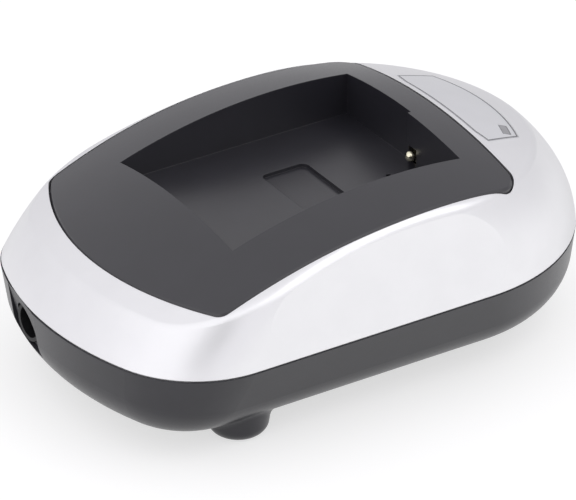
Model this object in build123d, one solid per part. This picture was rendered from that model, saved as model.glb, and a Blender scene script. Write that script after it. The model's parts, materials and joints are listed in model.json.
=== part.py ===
from build123d import *
import os
from math import asin, cos, degrees, radians, sin, sqrt, tan

os.makedirs("parts", exist_ok=True)

# Housing in plan: a rear end arc, two rear corners, straight sides and a half-round nose
length = 101.0
width = 65.2
rear_arc_radius = 59.0
rear_corner_radius = 19.0

# Housing heights above the table; the base takes its share of what lies above the feet
foot_height = 3.8
crown_height = 39.6
base_share = 0.398

# Crowned top: part of a large sphere, by how far it falls to the rear end
crown_x = 7.0
crown_drop = 17.3

# Cover walls: draft at the parting line in degrees, and how far they also curve in up to the top
rear_draft = 29.3
rear_curve = 11.6
side_draft = 5.7
side_curve = 3.3
nose_draft = 2.7
nose_curve = 17.0
shoulder_radius = 2.3

# Base bowl: drafts in degrees and its round bottom edge
base_rear_draft = 8.0
base_side_draft = 22.0
base_nose_draft = 2.0
bottom_radius = 9.5

# Walls and the joint between cover and base
wall = 2.0
groove_height = 0.3
groove_depth = 0.4
lip_height = 1.0
lip_thickness = 0.8
fit_gap = 0.1

# Hollow finger scallop on each side of the cover
scallop_depth = 0.15
scallop_length = 61.0
scallop_width = 15.8
scallop_x = 4.0
scallop_above_parting = 8.4
scallop_tilt = 2.5

# Battery bay
bay_length = 46.0
bay_width = 36.0
bay_x = -1.6
bay_depth = 10.3

# Adapter plate round the bay
plate_front_margin = 5.9
plate_side_inset = 4.4
plate_front_taper = 1.2
plate_rear_taper = 0.45
plate_rear_margin = 8.1
plate_rear_bulge = 8.4
plate_corner_radius = 4.4
plate_rear_radius = 2.5
plate_thickness = 1.8
plate_gap = 0.2
plate_chamfer = 0.35
deck_thickness = 1.6
tub_wall = 1.6
tub_floor = 1.8
tub_gap = 0.4

# Shallow panel in the bay floor
panel_length = 9.0
panel_width = 14.0
panel_depth = 0.7
panel_corner = 1.3
panel_offset = 2.7
pit_diameter = 1.0
pit_depth = 0.5
pit_to_front = 6.2
pit_y = -4.7

# Feet: two near the rear corners and one under the nose
foot_radius = 5.5
foot_edge = 2.4
foot_draft = 8.0
foot_root = 1.8
foot_rear_inset = 25.3
foot_side_inset = 12.1
foot_nose_inset = 17.5

# Power socket in the rear end and the insert round it
jack_y = 10.0
jack_below_parting = 5.2
jack_opening = 7.3
jack_nose_diameter = 7.0
jack_nose_length = 4.0
jack_bore = 5.6
jack_bore_depth = 9.0
jack_pin_diameter = 2.0
jack_pin_length = 7.5
jack_body_width = 9.0
jack_body_height = 9.0
jack_body_length = 11.0
insert_width = 11.5
insert_drop = 9.0
insert_tilt = 14.0
insert_thickness = 2.4
insert_setback = 0.3
insert_tongue = 0.8

# Circuit board
board_thickness = 1.6
board_length = 55.0
board_width = 44.0
board_behind_bay = 2.6
board_nose_tongue = 15.0
board_nose_tongue_width = 25.0
board_jack_margin = 1.0
board_corner = 1.0
post_radius = 2.6
post_inset = 3.6
board_screw_diameter = 2.0
board_screw_head = 3.8
board_screw_head_height = 1.3
board_screw_length = 6.0

# Case screws, driven from below into the cover
case_screw_diameter = 2.2
case_screw_head = 4.4
case_screw_head_height = 1.8
case_screw_length = 16.0
case_screw_recess = 4.2
column_radius = 3.6
boss_radius = 3.0
screw_clearance = 0.3
cut_past = 1.0
screw_behind_board = 5.3
screw_beside_jack = 18.0
screw_ahead_of_bay = 6.1
screw_inside_bay = 0.5

# Battery contacts and the raised carrier that holds them at the front end wall of the bay
carrier_depth = 0.7
carrier_margin = 0.4
contact_count = 2
contact_pitch = 9.5
contact_first_y = -3.6
contact_width = 1.9
contact_thickness = 0.3
contact_dome = 0.95
contact_reach = 1.35
contact_height = 1.75
contact_rise = 3.0
contact_pad = 6.0
contact_bend = 0.6
spring_bend = 0.4
contact_slot_depth = 1.5
contact_slot_gap = 0.25

# Label and light window on the nose
label_thickness = 0.15
label_margin = 1.25
label_length = 9.65
label_half_width = 14.1
label_tip_width = 13.2
label_bulge = 2.2
label_corner_length = 3.5
label_corner_depth = 0.65
label_gap = 0.1
window_from_inner = 6.25
window_from_end = 3.3
window_length = 1.3
window_width = 3.0
window_turn = 18.0
window_collar = 1.0
window_collar_height = 2.0
led_height = 1.8
led_gap = 0.3

# Parts on the board
chip_x = -2.0
chip_y = 6.0
chip_length = 10.0
chip_width = 6.0
chip_height = 1.9
chip_stand = 0.2
chip_leg = 0.8
chip_legs = 8
chip_pitch = 1.27
switch_x = -17.0
switch_y = 9.0
switch_size = 6.2
switch_height = 2.3
diode_x = -5.0
diode_y = -10.0
diode_length = 4.3
diode_width = 2.6
diode_height = 2.1
inductor_x = -16.0
inductor_y = -7.0
inductor_diameter = 9.5
headroom = 1.0
input_capacitor_x = -26.0
input_capacitor_y = 0.0
input_capacitor_diameter = 6.3
output_capacitor_x = 11.0
output_capacitor_y = 8.0
output_capacitor_diameter = 6.3
resistor_count = 5
resistor_x = 4.0
resistor_y = -14.0
resistor_pitch = 2.4
resistor_length = 2.0
resistor_width = 1.25
resistor_height = 0.5

# Heights and places worked out from the sizes above
parting_height = foot_height + base_share * (crown_height - foot_height)
high = crown_height + wall
cover_rise = high - parting_height
crown_reach = length / 2 + crown_x
crown_radius = (crown_reach ** 2 + crown_drop ** 2) / (2 * crown_drop)
bay_floor_height = crown_height - bay_depth
base_floor = foot_height + wall
jack_height = parting_height - jack_below_parting
board_bottom = jack_height + jack_body_height / 2
board_top = board_bottom + board_thickness
tub_bottom = bay_floor_height - tub_floor
pocket_floor = tub_bottom - tub_gap
pocket_bottom = pocket_floor - deck_thickness
bay_front = bay_x + bay_length / 2
bay_rear = bay_x - bay_length / 2
plate_front = bay_front + plate_front_margin
plate_rear = bay_rear - plate_rear_margin
plate_half = width / 2 - plate_side_inset
pit_x = bay_front - pit_to_front
window_x = plate_front + label_margin + window_from_inner
window_y = window_from_end - label_half_width
insert_turn = asin(jack_y / rear_arc_radius)
insert_x = -length / 2 + rear_arc_radius * (1 - cos(insert_turn))
insert_lean = radians(insert_tilt)
insert_back_x = insert_x + insert_setback + insert_thickness / cos(insert_lean) + insert_drop * tan(insert_lean)
jack_face_x = insert_back_x + jack_body_width / 2 * tan(insert_turn) + fit_gap
head_seat = foot_height + case_screw_recess
board_x = bay_x - board_behind_bay
screw_rear_x = board_x - board_length / 2 - screw_behind_board
screw_rear_y = jack_y - screw_beside_jack
screw_nose_x = bay_front + screw_ahead_of_bay
screw_nose_y = bay_width / 2 - screw_inside_bay
case_screw_places = [(screw_rear_x, screw_rear_y), (screw_nose_x, screw_nose_y), (screw_nose_x, -screw_nose_y)]
post_x = board_length / 2 - post_inset
post_y = board_width / 2 - post_inset
board_screw_places = [(board_x + sx * post_x, sy * post_y) for sx in (-1, 1) for sy in (-1, 1)]
contact_places = [contact_first_y - i * contact_pitch for i in range(contact_count)]
contact_slot_half = contact_width / 2 + contact_slot_gap
carrier_x = bay_front - carrier_depth
carrier_end = contact_first_y + contact_slot_half + carrier_margin
contact_slot_back = carrier_x + contact_slot_depth
contact_x = contact_slot_back - contact_slot_gap - contact_thickness
dome_x = carrier_x - contact_reach + contact_dome
spring_x = bay_front - contact_pad / 2
jack_front = jack_face_x - jack_nose_length
jack_bore_end = jack_front + jack_bore_depth
jack_pin_end = jack_face_x + jack_body_length - 2 * contact_thickness
window_drop = ((window_x - crown_x) ** 2 + window_y ** 2) / (2 * crown_radius)
foot_rear_x = foot_rear_inset - length / 2
foot_rear_y = width / 2 - foot_side_inset
foot_places = [(foot_rear_x, foot_rear_y), (foot_rear_x, -foot_rear_y), (length / 2 - foot_nose_inset, 0)]
capacitor_height = pocket_bottom - board_top - headroom
inductor_height = capacitor_height - headroom


def slope(angle):
    """Sideways run for one millimetre of height at a draft angle."""
    return tan(radians(angle))


def block(x0, x1, y0, y1, z0, z1):
    """Box between two corners."""
    return Pos((x0 + x1) / 2, (y0 + y1) / 2, (z0 + z1) / 2) * Box(x1 - x0, y1 - y0, z1 - z0)


def post(x, y, radius, z0, z1):
    """Upright cylinder between two heights."""
    return Pos(x, y, (z0 + z1) / 2) * Cylinder(radius, z1 - z0)


def rod(y, z, radius, x0, x1):
    """Cylinder along X between two places."""
    return Pos((x0 + x1) / 2, y, z) * Rot(0, 90, 0) * Cylinder(radius, x1 - x0)


def outline(z, rear, side, nose):
    """Plan face of the housing at height z, drawn in from the parting outline by three insets."""
    rear_x = -length / 2 + rear
    half = width / 2 - side
    nose_x = length / 2 - nose
    arc = rear_arc_radius - rear
    corner = rear_corner_radius - side
    arc_x = rear_x + arc
    corner_y = half - corner
    corner_x = arc_x - sqrt((arc - corner) ** 2 - corner_y ** 2)
    toward = Vector(corner_x - arc_x, corner_y).normalized()
    meet = Vector(arc_x, 0) + toward * arc
    bend = Vector(corner_x, corner_y) + (toward + Vector(0, 1)).normalized() * corner
    start_x = nose_x - half
    edges = [
        ThreePointArc((meet.X, -meet.Y), (rear_x, 0), (meet.X, meet.Y)),
        ThreePointArc((meet.X, meet.Y), (bend.X, bend.Y), (corner_x, half)),
        Line((corner_x, half), (start_x, half)),
        ThreePointArc((start_x, half), (nose_x, 0), (start_x, -half)),
        Line((start_x, -half), (corner_x, -half)),
        ThreePointArc((corner_x, -half), (bend.X, -bend.Y), (meet.X, -meet.Y)),
    ]
    return Pos(0, 0, z) * Face(Wire(edges))


def crown(drop):
    """Sphere that carries the top of the housing, lowered by a drop; its poles lie to the sides."""
    return Pos(crown_x, 0, crown_height - crown_radius) * Rot(90, 0, 0) * Sphere(crown_radius - drop)


def cover_section(height, inset):
    """Plan face of the cover at a height above the parting line."""
    bend = (height / cover_rise) ** 2
    rear = height * slope(rear_draft) + bend * rear_curve
    side = height * slope(side_draft) + bend * side_curve
    nose = height * slope(nose_draft) + bend * nose_curve
    return outline(parting_height + height, inset + rear, inset + side, inset + nose)


def cover_form(inset, edge):
    """Solid form of the cover with its rounded shoulder."""
    walls = loft([cover_section(cover_rise * step / 3, inset) for step in range(4)])
    form = walls & crown(inset)
    return fillet(form.faces().sort_by(Axis.Z)[-1].edges(), edge)


def base_form(inset, floor, edge):
    """Solid bowl of the base: drafted walls with a round bottom edge."""
    depth = parting_height - floor
    bottom = outline(floor, inset + depth * slope(base_rear_draft), inset + depth * slope(base_side_draft),
                     inset + depth * slope(base_nose_draft))
    form = loft([bottom, outline(parting_height, inset, inset, inset)], ruled=True)
    return fillet(form.faces().sort_by(Axis.Z)[0].edges(), edge)


def plate_prism(grow):
    """Upright block of the adapter plate's outline, grown all round."""
    half = plate_half + grow
    front = plate_front + grow
    rear = plate_rear - grow
    front_half = half - plate_front_taper
    rear_half = half - plate_rear_taper
    edges = [
        ThreePointArc((rear, -rear_half), (rear - plate_rear_bulge, 0), (rear, rear_half)),
        ThreePointArc((rear, rear_half), (bay_x, half), (front, front_half)),
        Line((front, front_half), (front, -front_half)),
        ThreePointArc((front, -front_half), (bay_x, -half), (rear, -rear_half)),
    ]
    prism = Pos(0, 0, parting_height) * raised(Face(Wire(edges)), cover_rise)
    rear_corners = prism.edges().filter_by(Axis.Z).group_by(Axis.X)[0]
    prism = fillet(rear_corners, plate_rear_radius + grow)
    front_corners = prism.edges().filter_by(Axis.Z).group_by(Axis.X)[-1]
    return fillet(front_corners, plate_corner_radius + grow)


def raised(face, height):
    """Face extruded upwards."""
    return extrude(face, height, dir=(0, 0, 1))


def tub_block(grow, bottom):
    """Block round the battery bay, grown sideways, from a bottom height up past the crown."""
    half = bay_width / 2 + grow
    return block(bay_rear - grow, bay_front + grow, -half, half, bottom, high)


def scallop(side):
    """Ring-shaped cutter for the finger scallop of one side, hollow past the bulge of the side wall."""
    depth = scallop_depth + side_curve * (scallop_width / 2 / cover_rise) ** 2
    long_radius = scallop_length ** 2 / (8 * depth)
    short_radius = scallop_width ** 2 / (8 * scallop_depth)
    height = scallop_above_parting
    face_y = width / 2 - height * slope(side_draft) - side_curve * (height / cover_rise) ** 2
    lean = side_draft + degrees(2 * side_curve * height / cover_rise ** 2)
    ring = Pos(0, long_radius - depth, 0) * Torus(long_radius - short_radius, short_radius)
    cutter = Pos(scallop_x, face_y, parting_height + height) * Rot(lean, 0, 0) * Rot(0, -scallop_tilt, 0) * ring
    return cutter if side > 0 else mirror(cutter, Plane.XZ)


def window_block(grow, bottom, top):
    """Upright block of the light window."""
    along = window_length + 2 * grow
    across = window_width + 2 * grow
    place = Pos(window_x, window_y, (bottom + top) / 2) * Rot(0, 0, -window_turn)
    return place * Box(along, across, top - bottom)


def label_prism(grow):
    """Upright block of the label's outline: an inner line with slanted ends, two sides and a bowed outer line."""
    inner = plate_front + label_margin - grow
    half = label_half_width + grow
    tip = label_tip_width + grow
    outer = inner + label_length + 2 * grow
    straight = half - label_corner_length
    end = inner + label_corner_depth
    edges = [
        Line((inner, straight), (inner, -straight)),
        Line((inner, -straight), (end, -half)),
        Line((end, -half), (outer - label_bulge, -tip)),
        ThreePointArc((outer - label_bulge, -tip), (outer, 0), (outer - label_bulge, tip)),
        Line((outer - label_bulge, tip), (end, half)),
        Line((end, half), (inner, straight)),
    ]
    return Pos(0, 0, parting_height) * raised(Face(Wire(edges)), cover_rise)


def strip(points, bend, y):
    """Sprung metal strip: a bent path in X and Z, given the width of a contact round a place in Y."""
    path = trace(FilletPolyline(*points, radius=bend), contact_thickness)
    return Pos(0, y, 0) * extrude(Plane.XZ * path, contact_width / 2, both=True)


def contact_opening(y):
    """Opening through the pocket floor for one plate contact spring."""
    half = contact_width / 2 + 2 * contact_slot_gap
    return block(spring_x - contact_pad / 2, spring_x + contact_pad / 2, y - half, y + half,
                 pocket_bottom - cut_past, pocket_floor + cut_past)


def upper_cover():
    """Silver top shell with the seat and pocket for the adapter plate, screw bosses and window hole."""
    outer = cover_form(0, shoulder_radius)
    for side in (-1, 1):
        outer -= scallop(side)
    under_plate = cover_form(wall / 2, shoulder_radius - wall / 2) & crown(plate_thickness)
    shell = outer - cover_form(wall, shoulder_radius)
    shell += (plate_prism(wall) & under_plate) - crown(plate_thickness + deck_thickness)
    shell += tub_block(tub_wall + tub_gap + deck_thickness, pocket_bottom) & under_plate
    lip_inset = wall - lip_thickness - fit_gap
    shell -= raised(outline(parting_height, lip_inset, lip_inset, lip_inset), lip_height + fit_gap)
    groove = raised(outline(parting_height, -wall, -wall, -wall), groove_height)
    shell -= groove - raised(outline(parting_height, groove_depth, groove_depth, groove_depth), groove_height)
    for x, y in case_screw_places:
        shell += post(x, y, boss_radius, parting_height, high) & under_plate
    shell -= plate_prism(plate_gap) - crown(plate_thickness)
    shell -= tub_block(tub_wall + tub_gap, pocket_floor)
    for x, y in case_screw_places:
        shell -= post(x, y, case_screw_diameter / 2, parting_height - cut_past, head_seat + case_screw_length + fit_gap)
    for y in contact_places:
        shell -= contact_opening(y)
    shell -= label_prism(label_gap) - cover_form(label_thickness, shoulder_radius - label_thickness)
    shell -= window_block(fit_gap, pocket_bottom, high)
    return shell


def label():
    """Thin overlay let into the nose, with a hole for the light window."""
    skin = label_prism(0) & cover_form(0, shoulder_radius)
    skin -= cover_form(label_thickness, shoulder_radius - label_thickness)
    return skin - window_block(fit_gap, pocket_bottom, high)


def led_window():
    """Light pipe from the status lamp up to the face of the label, with a collar under the cover."""
    bottom = board_top + led_height + led_gap
    pipe = window_block(0, bottom, high) & cover_form(0, shoulder_radius)
    inside = cover_form(wall, shoulder_radius)
    collar_bottom = crown_height - wall - window_drop - window_collar_height
    return pipe + (window_block(window_collar, collar_bottom, high) & inside)


def adapter_plate():
    """Charcoal plate that follows the crown, with the battery bay hanging from it."""
    rim = (plate_prism(0) & crown(0)) - crown(plate_thickness)
    rim = chamfer(rim.faces().sort_by(Axis.Z)[-1].edges(), plate_chamfer)
    plate = rim + (tub_block(tub_wall, tub_bottom) & crown(0))
    plate -= tub_block(0, bay_floor_height) - block(carrier_x, length, -width, carrier_end, bay_floor_height, high)
    panel = RectangleRounded(panel_length, panel_width, panel_corner)
    plate -= Pos(bay_x + panel_offset, 0, bay_floor_height - panel_depth) * raised(panel, wall)
    plate -= post(pit_x, pit_y, pit_diameter / 2, bay_floor_height - pit_depth, high)
    slot_reach = contact_thickness / 2 + contact_slot_gap
    slot_top = bay_floor_height + contact_rise + contact_slot_gap
    for y in contact_places:
        low_y = y - contact_slot_half
        high_y = y + contact_slot_half
        plate -= block(carrier_x - fit_gap, contact_slot_back, low_y, high_y, bay_floor_height, slot_top)
        plate -= block(contact_x - slot_reach, contact_x + slot_reach, low_y, high_y, tub_bottom - cut_past, slot_top)
    return plate


def battery_contact(y):
    """Strip with a dome that stands out of the carrier's slot, and a pad at its foot under the bay."""
    pad_height = tub_bottom - contact_thickness / 2
    points = [
        (contact_x, bay_floor_height + contact_rise),
        (contact_x, pad_height),
        (contact_x - contact_pad, pad_height),
    ]
    dome_height = bay_floor_height + contact_height
    dome = Pos(dome_x, y, dome_height) * Sphere(contact_dome)
    return strip(points, contact_bend, y) + dome + rod(y, dome_height, contact_dome, dome_x, contact_x)


def plate_contact_springs():
    """Springs from the circuit board up to the pads under the adapter plate."""
    foot = board_top + contact_thickness / 2
    tip = tub_bottom - contact_thickness * 1.5
    points = [
        (spring_x - contact_pad * 0.9, foot),
        (spring_x, foot),
        (spring_x + contact_pad * 0.25, foot + contact_pad * 0.25),
        (spring_x - contact_pad * 0.3, tip - contact_pad * 0.2),
        (spring_x, tip),
        (spring_x + contact_pad * 0.2, tip - contact_pad * 0.15),
    ]
    return [strip(points, spring_bend, y) for y in contact_places]


def base_shell():
    """Charcoal bowl with its feet, screw columns, board posts and the opening for the insert."""
    cavity = base_form(wall, base_floor, bottom_radius - wall)
    ribs = Part()
    for x, y in case_screw_places:
        ribs += post(x, y, column_radius, foot_height, parting_height - fit_gap)
    for x, y in board_screw_places:
        ribs += post(x, y, post_radius, foot_height, board_bottom)
    rest_top = jack_height - jack_body_height / 2
    rest_side = jack_body_width / 2
    ribs += block(jack_face_x + wall, jack_face_x + jack_body_length - wall, jack_y - rest_side, jack_y + rest_side,
                  foot_height, rest_top)
    shell = footed_bowl() - cavity + (ribs & base_form(wall / 2, foot_height + wall / 2, bottom_radius))
    lip_inset = wall - lip_thickness
    lip = raised(outline(parting_height, lip_inset, lip_inset, lip_inset), lip_height)
    shell += lip - raised(outline(parting_height, wall, wall, wall), lip_height)
    for x, y in case_screw_places:
        shell -= post(x, y, case_screw_head / 2 + screw_clearance, 0, head_seat)
        shell -= post(x, y, case_screw_diameter / 2 + screw_clearance, head_seat, parting_height)
    for x, y in board_screw_places:
        shell -= post(x, y, board_screw_diameter / 2, board_top - board_screw_length - fit_gap, board_top)
    return shell - insert_form(fit_gap)


def foot(x, y):
    """Moulded foot: a drafted post with a round bottom edge that runs up into the bowl."""
    top = foot_height + bottom_radius / 2
    flare = (top - foot_height) * slope(foot_draft)
    tip = foot_radius - foot_height * slope(foot_draft)
    shape = Pos(x, y, top / 2) * Cone(tip, foot_radius + flare, top)
    return fillet(shape.edges().filter_by(GeomType.CIRCLE).sort_by(Axis.Z)[0], foot_edge)


def footed_bowl():
    """Solid bowl of the base with its feet, blended where they meet."""
    bowl = base_form(0, foot_height, bottom_radius)
    for x, y in foot_places:
        bowl += foot(x, y)
    side_edges = [edge for side in bowl.faces().filter_by(GeomType.CONE) for edge in side.edges()]
    return fillet([edge for edge in side_edges if edge.center().Z > foot_height - fit_gap], foot_root)


def insert_form(grow):
    """Block of the insert with the tongue round its edge, grown all round; it faces out and slightly down."""
    turn = Vector(-cos(insert_turn), sin(insert_turn))
    facing = turn * cos(insert_lean) + Vector(0, 0, -sin(insert_lean))
    place = Plane(
        origin=(insert_x + insert_setback, jack_y, parting_height),
        x_dir=(sin(insert_turn), cos(insert_turn), 0),
        z_dir=facing,
    )
    half = insert_width / 2 + grow
    drop = insert_drop + grow
    rise = wall + lip_height
    third = insert_thickness / 3
    side = insert_tongue
    body = block(-half, half, -rise, drop, -insert_thickness - grow, wall * (grow > 0))
    tongue = block(-half - side, half + side, -rise, drop + side, -2 * third - grow, grow - third)
    return place * (body + tongue)


def jack_panel():
    """Insert in the rear end of the base with the round hole for the power plug."""
    panel = insert_form(0) & block(-length, 0, -width, width, 0, parting_height)
    return panel - rod(jack_y, jack_height, jack_opening / 2, -length, 0)


def dc_jack_body():
    """Moulded socket block under the circuit board, with a round nose, a bore and a slot for its spring."""
    rear = jack_face_x + jack_body_length
    side = jack_body_width / 2
    bottom = jack_height - jack_body_height / 2
    body = block(jack_face_x, rear, jack_y - side, jack_y + side, bottom, board_bottom)
    body += rod(jack_y, jack_height, jack_nose_diameter / 2, jack_front, jack_face_x)
    body -= rod(jack_y, jack_height, jack_bore / 2, jack_front, jack_bore_end)
    body -= rod(jack_y, jack_height, jack_pin_diameter / 2, jack_bore_end, jack_pin_end)
    slot = contact_width / 2 + contact_slot_gap
    return body - block(jack_face_x + jack_nose_length / 2, rear, jack_y - slot, jack_y + slot, bottom,
                        jack_height - jack_pin_diameter)


def dc_jack_pin():
    """Centre pin of the socket, moulded into its rear wall."""
    pin = rod(jack_y, jack_height, jack_pin_diameter / 2, jack_bore_end - jack_pin_length, jack_pin_end)
    return fillet(pin.edges().filter_by(GeomType.CIRCLE).sort_by(Axis.X)[0], jack_pin_diameter / 4)


def dc_jack_spring():
    """Side contact of the socket, from the circuit board down and into the bore."""
    rear = jack_face_x + jack_body_length + contact_thickness
    low = jack_height - jack_bore / 2 - 2 * contact_thickness
    points = [
        (rear, board_bottom),
        (rear, low),
        (jack_face_x + jack_body_length / 2, low),
        (jack_face_x + jack_body_length / 4, low + 4 * contact_thickness),
        (jack_face_x + jack_nose_length * 0.75, low + contact_thickness),
    ]
    return strip(points, spring_bend, jack_y)


def circuit_board():
    """Board with a tongue to the nose for the status lamp and a tongue over the socket."""
    rear = board_x - board_length / 2
    front = board_x + board_length / 2
    half = board_width / 2
    tongue = board_nose_tongue_width / 2
    jack_side = jack_body_width / 2 + board_jack_margin
    board = block(rear, front, -half, half, board_bottom, board_top)
    board += block(front - half, front + board_nose_tongue, -tongue, tongue, board_bottom, board_top)
    board += block(jack_face_x + wall, rear + half, jack_y - jack_side, jack_y + jack_side, board_bottom, board_top)
    corners = board.edges().filter_by(Axis.Z)
    board = fillet(corners, board_corner)
    for x, y in board_screw_places:
        board -= post(x, y, board_screw_diameter / 2 + fit_gap, board_bottom, board_top)
    return board


def screws(places, seat, up, head, head_height, diameter, shank):
    """Cross-head screws that all stand on one seat height; up is 1 where the head lies above the seat."""
    group = []
    for x, y in places:
        top = seat + up * head_height
        low, high_end = sorted((seat, top))
        screw = post(x, y, head / 2, low, high_end)
        edge = screw.edges().filter_by(GeomType.CIRCLE).sort_by(Axis.Z)[-1 if up > 0 else 0]
        screw = fillet(edge, head_height / 3)
        low, high_end = sorted((seat, seat - up * shank))
        screw += post(x, y, diameter / 2, low, high_end)
        for turn in (0, 90):
            screw -= Pos(x, y, top) * Rot(0, 0, turn) * Box(head * 0.6, head * 0.14, head_height)
        group.append(screw)
    return group


def controller_chip():
    """Small-outline chip with its rows of bent legs."""
    body = Pos(chip_x, chip_y, board_top + chip_stand + chip_height / 2) * Box(chip_length, chip_width, chip_height)
    body = chamfer(body.faces().sort_by(Axis.Z)[-1].edges(), chip_stand * 2)
    first = chip_x - (chip_legs - 1) * chip_pitch / 2
    for i in range(chip_legs):
        x = first + i * chip_pitch
        for side in (-1, 1):
            inner = chip_y + side * chip_width / 2
            knee = inner + side * chip_leg
            outer = knee + side * chip_leg
            body += leg(x, inner, knee, board_top + chip_height / 2)
            body += leg(x, knee, outer, board_top)
    return body


def leg(x, start, end, bottom):
    """Flat run of a chip leg; the one that starts at the body also comes down to the board."""
    half = chip_pitch / 6
    low, far = sorted((start, end))
    run = block(x - half, x + half, low, far, bottom, bottom + chip_stand)
    if bottom > board_top:
        near = end - chip_stand if end > start else end + chip_stand
        low, far = sorted((near, end))
        run += block(x - half, x + half, low, far, board_top, bottom + chip_stand)
    return run


def switching_transistor():
    """Power transistor lying on its metal tab."""
    body = block(switch_x - switch_size / 2, switch_x + switch_size / 2, switch_y - switch_size / 2,
                 switch_y + switch_size / 2, board_top, board_top + switch_height)
    body = chamfer(body.faces().sort_by(Axis.Z)[-1].edges(), switch_height / 6)
    tab_half = switch_size * 0.4
    body += block(switch_x + switch_size / 2, switch_x + switch_size * 0.7, switch_y - tab_half, switch_y + tab_half,
                  board_top, board_top + switch_height / 4)
    for side in (-1, 1):
        y = switch_y + side * switch_size / 3
        body += block(switch_x - switch_size * 0.9, switch_x - switch_size / 2, y - chip_pitch / 3, y + chip_pitch / 3,
                      board_top, board_top + switch_height / 4)
    return body


def rectifier_diode():
    """Moulded diode with wrapped end tabs."""
    top = board_top + diode_height
    half = diode_length / 2
    side = diode_width / 2
    body = block(diode_x - half, diode_x + half, diode_y - side, diode_y + side, board_top + chip_stand, top)
    body = chamfer(body.faces().sort_by(Axis.Z)[-1].edges(), diode_height / 6)
    for end in (-1, 1):
        x = diode_x + end * half
        low, far = sorted((x - end * diode_length / 5, x + end * chip_stand))
        body += block(low, far, diode_y - side * 0.6, diode_y + side * 0.6, board_top, board_top + diode_height / 2)
    return body


def inductor_core():
    """Drum core of the storage inductor."""
    radius = inductor_diameter / 2
    flange = inductor_height * 0.2
    core = post(inductor_x, inductor_y, radius, board_top, board_top + flange)
    core += post(inductor_x, inductor_y, radius * 0.45, board_top, board_top + inductor_height)
    core += post(inductor_x, inductor_y, radius, board_top + inductor_height - flange, board_top + inductor_height)
    return core


def inductor_winding():
    """Wire wound between the flanges of the drum core."""
    radius = inductor_diameter / 2
    flange = inductor_height * 0.2
    low = board_top + flange
    top = board_top + inductor_height - flange
    winding = post(inductor_x, inductor_y, radius * 0.88, low, top)
    return winding - post(inductor_x, inductor_y, radius * 0.45, low, top)


def capacitor(x, y, diameter):
    """Can capacitor on its square foot, with the rolled groove near its foot."""
    foot = capacitor_height * 0.15
    can = post(x, y, diameter / 2, board_top + foot, board_top + capacitor_height)
    can = fillet(can.edges().filter_by(GeomType.CIRCLE).sort_by(Axis.Z)[-1], diameter / 12)
    groove_z = board_top + capacitor_height * 0.32
    can -= Pos(x, y, groove_z) * Torus(diameter / 2 + diameter / 24, diameter / 12)
    half = diameter / 2 + fit_gap
    return can + block(x - half, x + half, y - half, y + half, board_top, board_top + foot)


def chip_resistors():
    """Row of small resistors."""
    group = []
    for i in range(resistor_count):
        place = Pos(resistor_x, resistor_y + i * resistor_pitch, board_top + resistor_height / 2)
        group.append(place * Box(resistor_length, resistor_width, resistor_height))
    return group


def status_led():
    """Lamp on the board under the light pipe: a flat foot and a domed lens."""
    foot = window_block(0, board_top, board_top + led_height / 3)
    lens = post(window_x, window_y, window_length * 0.45, board_top, board_top + led_height)
    lens = fillet(lens.edges().filter_by(GeomType.CIRCLE).sort_by(Axis.Z)[-1], window_length * 0.3)
    return foot + lens


pieces = {
    "upper_cover": upper_cover(),
    "base_shell": base_shell(),
    "adapter_plate": adapter_plate(),
    "jack_panel": jack_panel(),
    "label": label(),
    "led_window": led_window(),
    "dc_jack_body": dc_jack_body(),
    "dc_jack_pin": dc_jack_pin(),
    "dc_jack_spring": dc_jack_spring(),
    "circuit_board": circuit_board(),
    "controller_chip": controller_chip(),
    "switching_transistor": switching_transistor(),
    "rectifier_diode": rectifier_diode(),
    "inductor_core": inductor_core(),
    "inductor_winding": inductor_winding(),
    "input_capacitor": capacitor(input_capacitor_x, input_capacitor_y, input_capacitor_diameter),
    "output_capacitor": capacitor(output_capacitor_x, output_capacitor_y, output_capacitor_diameter),
    "chip_resistors": Compound(children=chip_resistors()),
    "status_led": status_led(),
    "plate_contact_springs": Compound(children=plate_contact_springs()),
    "case_screws": Compound(children=screws(case_screw_places, head_seat, -1, case_screw_head,
                                            case_screw_head_height, case_screw_diameter, case_screw_length)),
    "board_screws": Compound(children=screws(board_screw_places, board_top, 1, board_screw_head,
                                             board_screw_head_height, board_screw_diameter, board_screw_length)),
}
for number, y in enumerate(contact_places, 1):
    pieces[f"battery_contact_{number}"] = battery_contact(y)

for name, piece in pieces.items():
    export_step(piece, f"parts/{name}.step")
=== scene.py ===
import bpy
import json
from mathutils import Matrix, Vector
from mathutils.bvhtree import BVHTree


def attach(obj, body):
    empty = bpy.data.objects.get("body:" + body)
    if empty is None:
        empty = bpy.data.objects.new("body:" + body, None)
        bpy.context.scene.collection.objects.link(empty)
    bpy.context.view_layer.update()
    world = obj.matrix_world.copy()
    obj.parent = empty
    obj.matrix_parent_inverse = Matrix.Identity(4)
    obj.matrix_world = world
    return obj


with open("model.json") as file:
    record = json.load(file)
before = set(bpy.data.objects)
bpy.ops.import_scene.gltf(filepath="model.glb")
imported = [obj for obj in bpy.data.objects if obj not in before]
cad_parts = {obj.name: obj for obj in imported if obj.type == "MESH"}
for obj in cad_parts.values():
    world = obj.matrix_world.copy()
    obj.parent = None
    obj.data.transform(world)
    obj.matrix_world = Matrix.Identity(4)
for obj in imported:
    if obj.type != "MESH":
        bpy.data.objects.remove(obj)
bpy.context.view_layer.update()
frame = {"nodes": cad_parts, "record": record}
nodes = frame["nodes"]
MM = 0.001


def socket(node, name, value):
    """Set one input of a node."""
    node.inputs[name].default_value = value


def new_material(name):
    """Material with a bare principled shader, returned with its tree and shader."""
    material = bpy.data.materials.new(name)
    material.use_nodes = True
    tree = material.node_tree
    shader = tree.nodes["Principled BSDF"]
    return material, tree, shader


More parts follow.
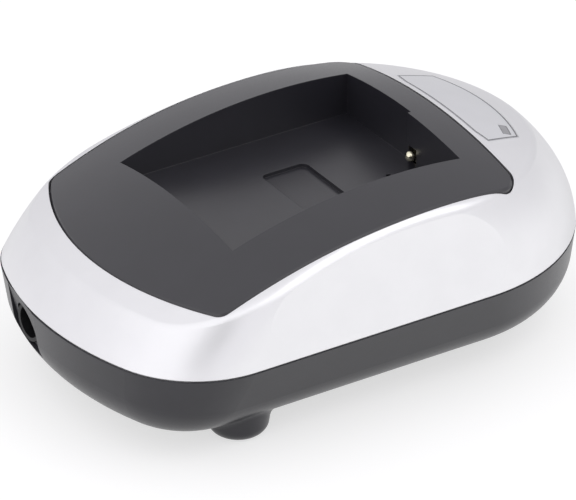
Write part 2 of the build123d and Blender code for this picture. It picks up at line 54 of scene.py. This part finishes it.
def noise(tree, size, detail, roughness=0.5):
    """Noise texture in object coordinates whose features have a size in metres."""
    place = tree.nodes.new("ShaderNodeTexCoord")
    texture = tree.nodes.new("ShaderNodeTexNoise")
    socket(texture, "Scale", 1 / size)
    socket(texture, "Detail", detail)
    socket(texture, "Roughness", roughness)
    tree.links.new(place.outputs["Object"], texture.inputs["Vector"])
    return texture.outputs["Fac"]


def ramp(tree, source, low, high, start=0.35, end=0.65):
    """Spread a grey value over a range, between two colours."""
    node = tree.nodes.new("ShaderNodeValToRGB")
    node.color_ramp.elements[0].position = start
    node.color_ramp.elements[0].color = (*low, 1)
    node.color_ramp.elements[1].position = end
    node.color_ramp.elements[1].color = (*high, 1)
    tree.links.new(source, node.inputs["Fac"])
    return node.outputs["Color"]


def spread(tree, source, low, high, start=0.3, end=0.7):
    """Map a grey value to a range of numbers."""
    node = tree.nodes.new("ShaderNodeMapRange")
    for name, value in (("From Min", start), ("From Max", end), ("To Min", low), ("To Max", high)):
        socket(node, name, value)
    tree.links.new(source, node.inputs["Value"])
    return node.outputs["Result"]


def combine(tree, operation, first, second):
    """Number worked out from two others by a math node."""
    node = tree.nodes.new("ShaderNodeMath")
    node.operation = operation
    tree.links.new(first, node.inputs[0])
    tree.links.new(second, node.inputs[1])
    return node.outputs[0]


def bump(tree, shader, source, depth, edge):
    """Raise the surface by a texture and soften its sharp edges; depth and edge radius in metres."""
    node = tree.nodes.new("ShaderNodeBump")
    socket(node, "Strength", 1.0)
    socket(node, "Distance", depth)
    tree.links.new(source, node.inputs["Height"])
    if edge:
        soft = tree.nodes.new("ShaderNodeBevel")
        socket(soft, "Radius", edge)
        tree.links.new(soft.outputs["Normal"], node.inputs["Normal"])
    tree.links.new(node.outputs["Normal"], shader.inputs["Normal"])


# Finishes of the material slots
PATCH_SIZE = 6.0
PATCH_DETAIL = 4.0
GRAIN_DETAIL = 3.0
GRAIN_ROUGHNESS = 0.6


def finish_material(name, colour, change, rough, grain, depth, metallic=0.0, edge=0.0, specular=0.5, tint=1.0):
    """Moulded, painted or metal finish: a colour that drifts in patches, and a fine grain in gloss and height.

    Change is the share by which the colour drifts. Grain, depth, edge and the patches are in millimetres.
    """
    material, tree, shader = new_material(name)
    low = [c * (1 - change) for c in colour]
    high = [min(1.0, c * (1 + change)) for c in colour]
    patches = noise(tree, PATCH_SIZE * MM, PATCH_DETAIL)
    tree.links.new(ramp(tree, patches, low, high), shader.inputs["Base Color"])
    fine = noise(tree, grain * MM, GRAIN_DETAIL, GRAIN_ROUGHNESS)
    tree.links.new(spread(tree, fine, *rough), shader.inputs["Roughness"])
    bump(tree, shader, fine, depth * MM, edge * MM)
    socket(shader, "Metallic", metallic)
    socket(shader, "Specular IOR Level", specular)
    socket(shader, "Specular Tint", (tint, tint, tint, 1))
    return material


finishes = {
    "silver_plastic": finish_material(
        "silver_paint", (0.88, 0.88, 0.895), change=0.01, rough=(0.3, 0.38), grain=0.15, depth=0.0006,
        metallic=0.8, edge=0.15, tint=0.7),
    "charcoal_plastic": finish_material(
        "charcoal_texture", (0.022, 0.0215, 0.027), change=0.08, rough=(0.28, 0.36), grain=0.25, depth=0.003,
        edge=0.15, specular=0.54),
    "plate_plastic": finish_material(
        "plate_texture", (0.017, 0.0165, 0.022), change=0.06, rough=(0.28, 0.36), grain=0.22, depth=0.002,
        edge=0.12, specular=0.85),
    "panel_plastic": finish_material(
        "panel_texture", (0.03, 0.03, 0.034), change=0.06, rough=(0.36, 0.46), grain=0.25, depth=0.003,
        edge=0.12, specular=0.4),
    "label_film": finish_material(
        "label_film", (0.8, 0.805, 0.825), change=0.01, rough=(0.34, 0.42), grain=0.15, depth=0.0004,
        metallic=0.75, tint=0.7),
    "light_pipe": finish_material(
        "frosted_pipe", (0.3, 0.3, 0.315), change=0.06, rough=(0.3, 0.4), grain=0.2, depth=0.001),
    "contact_metal": finish_material(
        "plated_contact", (0.85, 0.81, 0.63), change=0.06, rough=(0.1, 0.2), grain=0.2, depth=0.0006,
        metallic=1.0),
    "plated_metal": finish_material(
        "plated_metal", (0.72, 0.72, 0.71), change=0.05, rough=(0.15, 0.28), grain=0.2, depth=0.001,
        metallic=1.0),
    "black_plastic": finish_material(
        "black_moulding", (0.009, 0.009, 0.01), change=0.1, rough=(0.4, 0.55), grain=0.2, depth=0.003,
        edge=0.1, specular=0.3),
    "board_laminate": finish_material(
        "solder_mask", (0.03, 0.16, 0.07), change=0.15, rough=(0.25, 0.4), grain=0.4, depth=0.003),
    "ferrite": finish_material(
        "ferrite", (0.06, 0.06, 0.065), change=0.15, rough=(0.5, 0.7), grain=0.3, depth=0.006, metallic=0.2),
    "copper_wire": finish_material(
        "varnished_copper", (0.55, 0.22, 0.09), change=0.15, rough=(0.25, 0.4), grain=0.3, depth=0.01,
        metallic=1.0),
    "can_metal": finish_material(
        "drawn_can", (0.68, 0.68, 0.7), change=0.06, rough=(0.25, 0.38), grain=0.3, depth=0.002, metallic=1.0),
    "screw_steel": finish_material(
        "dark_steel", (0.3, 0.3, 0.31), change=0.12, rough=(0.3, 0.45), grain=0.2, depth=0.003, metallic=1.0),
}
for piece in frame["record"]["subparts"]:
    mesh = nodes[piece["node"]].data
    mesh.materials.clear()
    mesh.materials.append(finishes[piece["material_slot"]])

# Dark line painted round the label's edge as painted shade of its groove: outline of the label in X and Y, and
# the painted shade line draped on it, in millimetres
LABEL_INNER = 28.55
LABEL_INNER_HALF = 10.6
LABEL_END = 29.2
LABEL_HALF = 14.1
LABEL_SHOULDER = 36.0
LABEL_TIP = 38.2
LABEL_TIP_HALF = 13.2
ARC_STEPS = 40
POINT_SPACING = 0.7
BORDER_INSET = 0.08
BORDER_WIDTH = 0.24
SHADE_HALF_THICKNESS = 0.012
ABOVE_LABEL = 60
RIBBON_SIDES = 4


def label_outline():
    """Closed outline of the label in millimetres, with points close enough to follow its curve."""
    bulge = LABEL_TIP - LABEL_SHOULDER
    radius = (LABEL_TIP_HALF ** 2 + bulge ** 2) / (2 * bulge)
    corners = [(LABEL_INNER, LABEL_INNER_HALF), (LABEL_INNER, -LABEL_INNER_HALF), (LABEL_END, -LABEL_HALF),
               (LABEL_SHOULDER, -LABEL_TIP_HALF)]
    for i in range(1, ARC_STEPS):
        y = -LABEL_TIP_HALF + 2 * LABEL_TIP_HALF * i / ARC_STEPS
        corners.append((LABEL_TIP - radius + (radius ** 2 - y ** 2) ** 0.5, y))
    corners += [(LABEL_SHOULDER, LABEL_TIP_HALF), (LABEL_END, LABEL_HALF)]
    points = []
    for first, second in zip(corners, corners[1:] + corners[:1]):
        first, second = Vector(first), Vector(second)
        count = max(1, round((second - first).length / POINT_SPACING))
        points += [first.lerp(second, i / count) for i in range(count)]
    return points


def inset(points, distance):
    """Move a closed outline inwards by a distance, with mitred corners."""
    moved = []
    for i, point in enumerate(points):
        before = (point - points[i - 1]).normalized()
        after = (points[(i + 1) % len(points)] - point).normalized()
        inward_before = Vector((-before.y, before.x))
        inward_after = Vector((-after.y, after.x))
        mitre = (inward_before + inward_after).normalized()
        moved.append(point + mitre * distance / mitre.dot(inward_after))
    return moved


label_mesh = nodes["label"].data
label_faces = [p.vertices for p in label_mesh.polygons]
label_tree = BVHTree.FromPolygons([v.co for v in label_mesh.vertices], label_faces)


def on_label(point, lift):
    """Point of the label's top under a place given in millimetres, raised by a lift in millimetres."""
    start = Vector((point.x, point.y, ABOVE_LABEL)) * MM
    hit = label_tree.ray_cast(start, Vector((0, 0, -1)))
    return hit[0] + Vector((0, 0, lift * MM))


outline = label_outline()
outer = inset(outline, BORDER_INSET)
inner = inset(outline, BORDER_INSET + BORDER_WIDTH)
vertices = []
for out_point, in_point in zip(outer, inner):
    vertices += [on_label(out_point, SHADE_HALF_THICKNESS), on_label(in_point, SHADE_HALF_THICKNESS)]
    vertices += [on_label(in_point, -SHADE_HALF_THICKNESS), on_label(out_point, -SHADE_HALF_THICKNESS)]
faces = []
for i in range(len(outer)):
    this, following = RIBBON_SIDES * i, RIBBON_SIDES * ((i + 1) % len(outer))
    for k in range(RIBBON_SIDES):
        after = (k + 1) % RIBBON_SIDES
        faces.append((this + k, this + after, following + after, following + k))
border_mesh = bpy.data.meshes.new("label_groove_shade")
border_mesh.from_pydata(vertices, [], faces)
# Dark colour of the line round the label: painted shade standing in for the shade in the label's groove, not
# print
border_mesh.materials.append(finish_material(
    "painted_groove_shade", (0.13, 0.13, 0.14), change=0.12, rough=(0.35, 0.45), grain=0.1, depth=0.0004))
border = bpy.data.objects.new("label_groove_shade", border_mesh)
bpy.context.scene.collection.objects.link(border)
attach(border, "root")

# Floor that keeps a soft shadow and shows white to the camera and in reflections
FLOOR_SIZE = 6
FLOOR_DROP = 0.05
FLOOR_COLOUR = (0.45, 0.45, 0.45, 1)
FLOOR_GLOW = 0.63

floor_material, tree, shader = new_material("floor_white")
socket(shader, "Base Color", FLOOR_COLOUR)
socket(shader, "Roughness", 0.9)
socket(shader, "Specular IOR Level", 0.0)
socket(shader, "Emission Color", (1, 1, 1, 1))
path = tree.nodes.new("ShaderNodeLightPath")
seen = path.outputs["Is Camera Ray"]
for ray in ("Is Glossy Ray", "Is Transmission Ray"):
    seen = combine(tree, "MAXIMUM", seen, path.outputs[ray])
tree.links.new(spread(tree, seen, 0.0, FLOOR_GLOW, 0.0, 1.0), shader.inputs["Emission Strength"])
bpy.ops.mesh.primitive_plane_add(size=FLOOR_SIZE, location=(0, 0, -FLOOR_DROP * MM))
floor = bpy.context.object
floor.name = "floor"
floor.data.materials.append(floor_material)

# Pale surround, brighter to the left and darker behind the nose, with a dim patch where the photo's camera stood
SURROUND_COLOUR = (0.995, 0.985, 1.015, 1)
BRIGHT_SIDE = (-0.85, -0.42, 0.15)
DARKEST, BRIGHTEST = 0.73, 1.0
PHOTO_SIDE = (-0.467, -0.733, 0.494)
DIM_LEVEL = 0.3
DIM_EDGE = (0.95, 0.99)


def facing(tree, direction, side):
    """How far a direction of the surround agrees with a given side, from -1 to 1."""
    node = tree.nodes.new("ShaderNodeVectorMath")
    node.operation = "DOT_PRODUCT"
    tree.links.new(direction, node.inputs[0])
    node.inputs[1].default_value = side
    return node.outputs["Value"]


world = bpy.data.worlds.new("studio")
bpy.context.scene.world = world
world.use_nodes = True
tree = world.node_tree
background = tree.nodes["Background"]
socket(background, "Color", SURROUND_COLOUR)
direction = tree.nodes.new("ShaderNodeTexCoord").outputs["Generated"]
surround = spread(tree, facing(tree, direction, BRIGHT_SIDE), DARKEST, BRIGHTEST, -1.0, 1.0)
dim = spread(tree, facing(tree, direction, PHOTO_SIDE), 1.0, DIM_LEVEL, *DIM_EDGE)
tree.links.new(combine(tree, "MULTIPLY", surround, dim), background.inputs["Strength"])

# Two large softboxes aimed at the middle of the part, in metres and watts
LAMP_TARGET = (0, 0, 20 * MM)


def softbox(name, place, width, height, power):
    """Rectangular area lamp aimed at the part."""
    lamp = bpy.data.lights.new(name, "AREA")
    lamp.shape = "RECTANGLE"
    lamp.size = width
    lamp.size_y = height
    lamp.energy = power
    holder = bpy.data.objects.new(name, lamp)
    bpy.context.scene.collection.objects.link(holder)
    holder.location = place
    holder.rotation_euler = (Vector(LAMP_TARGET) - Vector(place)).to_track_quat("-Z", "Y").to_euler()


softbox("key", (-0.65, -0.25, 0.6), width=1.4, height=1.2, power=1)
softbox("top", (0.3, -0.45, 0.75), width=0.7, height=0.7, power=1)

# Camera at the photo's viewing angle, aimed left of and below the middle of the bay floor, in millimetres
VIEW_X = Vector((0.8434, -0.5373, 0.0))
VIEW_Y = Vector((0.2654, 0.4166, 0.8695))
VIEW_Z = Vector((-0.467, -0.733, 0.494))
BAY_FLOOR = Vector((-1.58, 0, 29.3))
AIM_LEFT = 0.49
AIM_BELOW = 10.33
EYE_DISTANCE = 1019.4

camera = bpy.data.cameras.new("camera")
camera.sensor_width = 36
camera.lens = 375
camera.clip_start = 0.01
camera.clip_end = 20
eye = bpy.data.objects.new("camera", camera)
bpy.context.scene.collection.objects.link(eye)
turn = Matrix((VIEW_X, VIEW_Y, VIEW_Z)).transposed().to_4x4()
focus = BAY_FLOOR - VIEW_X * AIM_LEFT - VIEW_Y * AIM_BELOW
eye.matrix_world = Matrix.Translation((focus + VIEW_Z * EYE_DISTANCE) * MM) @ turn
bpy.context.scene.camera = eye
bpy.context.scene.view_settings.view_transform = "Standard"
